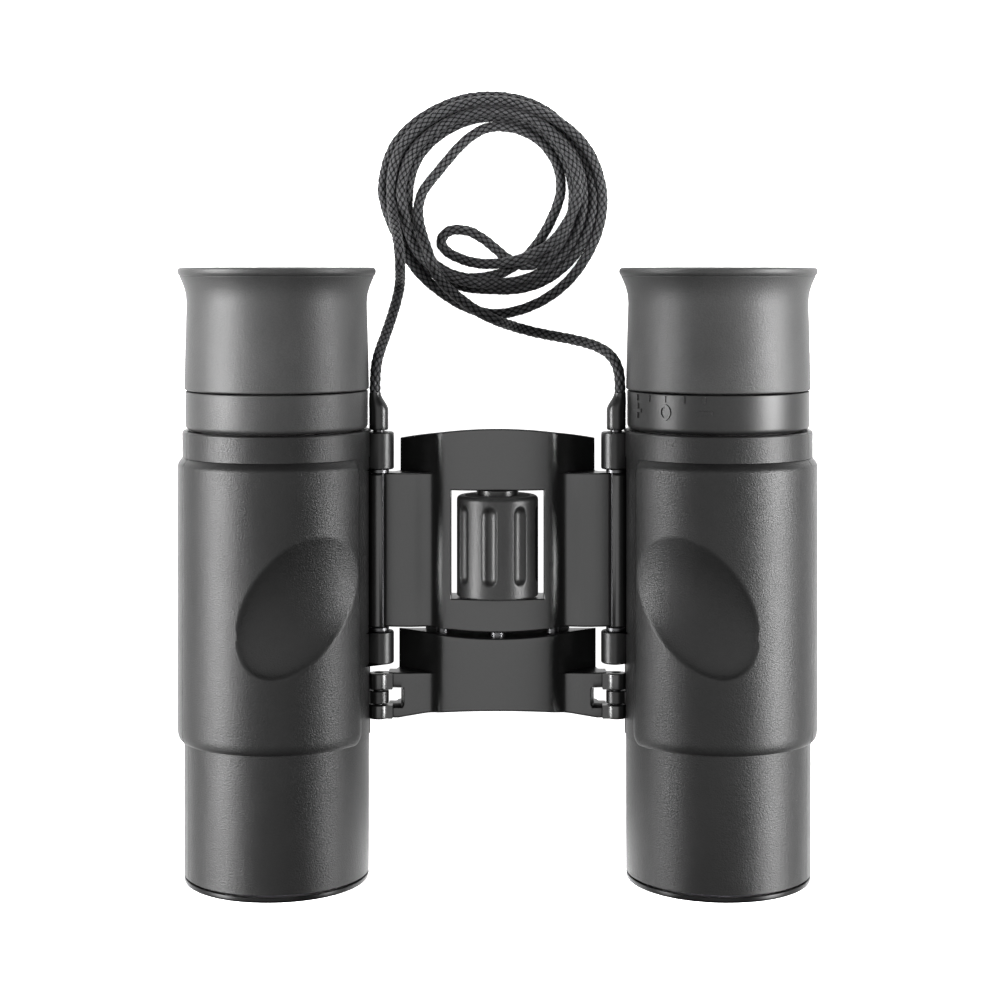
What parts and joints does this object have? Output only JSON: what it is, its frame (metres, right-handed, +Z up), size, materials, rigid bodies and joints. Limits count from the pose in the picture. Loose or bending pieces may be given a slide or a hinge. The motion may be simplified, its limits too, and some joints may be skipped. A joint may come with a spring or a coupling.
{
  "type": "folding compact binoculars",
  "caption": "Compact double-hinge folding roof-prism binoculars with central focus wheel, diopter ring, twist-up eyecups and a neck cord.",
  "frame": {"origin": "bottom centre of the bounding box of the opened binoculars lying flat with the thumb side up, without the cord; the table is Z = 0", "axes": "+X across the barrels towards the user's right eye, +Y along the optical axes towards the eyecups, +Z up, out of the thumb side"},
  "size_m": [0.1098, 0.1372, 0.034],
  "materials": {
    "neck_cord": "braided nylon, black",
    "armour_rubber": "matte with a fine pebbled grain, black",
    "eyecup_rubber": "matte with a fine grain, black",
    "eyepiece_ring": "matte with a fine grain, black",
    "diopter_ring": "smooth satin, black",
    "barrel_plastic": "moulded lugs, black",
    "bridge_plastic": "satin, black",
    "wheel_rubber": "fine grain, black",
    "cap_gloss": "glossy, black",
    "bezel_gloss": "glossy, black",
    "inner_plastic": "matte, black",
    "lens_cell": "black anodised",
    "coated_glass": "coated",
    "prism_glass": "polished and ground",
    "spring_steel": "plain",
    "brass": "turned",
    "steel": "ground"
  },
  "bodies": {
    "bridge": {"bridge_body": "bridge_plastic", "left_hinge_pin": "steel", "right_hinge_pin": "steel", "hinge_washers": "steel", "left_lanyard_cap": "cap_gloss", "right_lanyard_cap": "cap_gloss", "wheel_thrust_washer": "bezel_gloss", "focus_guide_rods": "steel", "cord_left_lead": "neck_cord", "cord_coil": "neck_cord", "cord_right_lead": "neck_cord"},
    "focus_wheel": {"focus_wheel_core": "inner_plastic", "focus_wheel_grip": "wheel_rubber", "focus_screw": "steel"},
    "focus_carriage": {"focus_slider": "bridge_plastic", "focus_nut": "brass", "focus_link_pins": "steel"},
    "left_barrel": {"left_barrel_tube": "barrel_plastic", "left_armour": "armour_rubber", "left_objective_bezel": "bezel_gloss", "left_prism_cage": "inner_plastic", "left_half_penta_prism": "prism_glass", "left_roof_prism": "prism_glass", "left_prism_clip": "spring_steel", "left_eyepiece_housing": "inner_plastic", "left_eyepiece_ring": "eyepiece_ring", "left_eyepiece_cell": "lens_cell", "left_field_lens": "coated_glass", "left_eye_lens": "coated_glass"},
    "left_objective": {"left_objective_cell": "lens_cell", "left_objective_lens": "coated_glass", "left_objective_lens_ring": "lens_cell", "left_focus_arm": "lens_cell"},
    "left_eyecup_slide": {"left_eyecup_sleeve": "inner_plastic"},
    "left_eyecup_turn": {"left_eyecup": "eyecup_rubber"},
    "right_barrel": {"right_barrel_tube": "barrel_plastic", "right_armour": "armour_rubber", "right_objective_bezel": "bezel_gloss", "right_prism_cage": "inner_plastic", "right_half_penta_prism": "prism_glass", "right_roof_prism": "prism_glass", "right_prism_clip": "spring_steel", "right_eyepiece_housing": "inner_plastic"},
    "right_objective": {"right_objective_cell": "lens_cell", "right_objective_lens": "coated_glass", "right_objective_lens_ring": "lens_cell", "right_focus_arm": "lens_cell"},
    "right_eyecup_slide": {"right_eyecup_sleeve": "inner_plastic"},
    "right_eyecup_turn": {"right_eyecup": "eyecup_rubber"},
    "diopter_turn": {"right_diopter_ring": "diopter_ring", "right_diopter_pin": "steel"},
    "diopter_eyepiece": {"right_eyepiece_cell": "lens_cell", "right_field_lens": "coated_glass", "right_eye_lens": "coated_glass"}
  },
  "joints": [
    {"name": "left_hinge", "type": "hinge", "parent": "bridge", "child": "left_barrel", "pos_m": [-0.0204, 0, 0.017], "axis": [0, 1, 0], "range_deg": [0, 90]},
    {"name": "right_hinge", "type": "hinge", "parent": "bridge", "child": "right_barrel", "pos_m": [0.0204, 0, 0.017], "axis": [0, -1, 0], "range_deg": [0, 90]},
    {"name": "focus_wheel_spin", "type": "hinge", "parent": "bridge", "child": "focus_wheel", "pos_m": [0, 0, 0.0175], "axis": [0, 1, 0], "range_deg": [-70.2, 290.2]},
    {"name": "focus_carriage_slide", "type": "slide", "parent": "bridge", "child": "focus_carriage", "axis": [0, -1, 0], "range_m": [-0.0007, 0.0029]},
    {"name": "left_objective_slide", "type": "slide", "parent": "left_barrel", "child": "left_objective", "axis": [0, -1, 0], "range_m": [-0.00071, 0.00291]},
    {"name": "right_objective_slide", "type": "slide", "parent": "right_barrel", "child": "right_objective", "axis": [0, -1, 0], "range_m": [-0.00071, 0.00291]},
    {"name": "left_eyecup_twist", "type": "hinge", "parent": "left_eyecup_slide", "child": "left_eyecup_turn", "pos_m": [-0.0379, 0, 0.017], "axis": [0, 1, 0], "range_deg": [0, 90.2]},
    {"name": "left_eyecup_rise", "type": "slide", "parent": "left_barrel", "child": "left_eyecup_slide", "axis": [0, 1, 0], "range_m": [0, 0.006]},
    {"name": "right_eyecup_twist", "type": "hinge", "parent": "right_eyecup_slide", "child": "right_eyecup_turn", "pos_m": [0.0379, 0, 0.017], "axis": [0, 1, 0], "range_deg": [0, 90.2]},
    {"name": "right_eyecup_rise", "type": "slide", "parent": "right_barrel", "child": "right_eyecup_slide", "axis": [0, 1, 0], "range_m": [0, 0.006]},
    {"name": "diopter_ring_spin", "type": "hinge", "parent": "right_barrel", "child": "diopter_turn", "pos_m": [0.0379, 0, 0.017], "axis": [0, 1, 0], "range_deg": [-30.2, 30.2]},
    {"name": "diopter_eyepiece_slide", "type": "slide", "parent": "right_barrel", "child": "diopter_eyepiece", "axis": [0, 1, 0], "range_m": [-0.0012, 0.0012]}
  ],
  "couplings": [
    {"joint": "focus_wheel_spin", "follows": "focus_carriage_slide", "rad_per_m": 1745.3},
    {"joint": "left_objective_slide", "follows": "focus_carriage_slide", "ratio": 1},
    {"joint": "right_objective_slide", "follows": "focus_carriage_slide", "ratio": 1},
    {"joint": "left_eyecup_twist", "follows": "left_eyecup_rise", "rad_per_m": 261.8},
    {"joint": "right_eyecup_twist", "follows": "right_eyecup_rise", "rad_per_m": 261.8},
    {"joint": "diopter_ring_spin", "follows": "diopter_eyepiece_slide", "rad_per_m": 436.33}
  ]
}
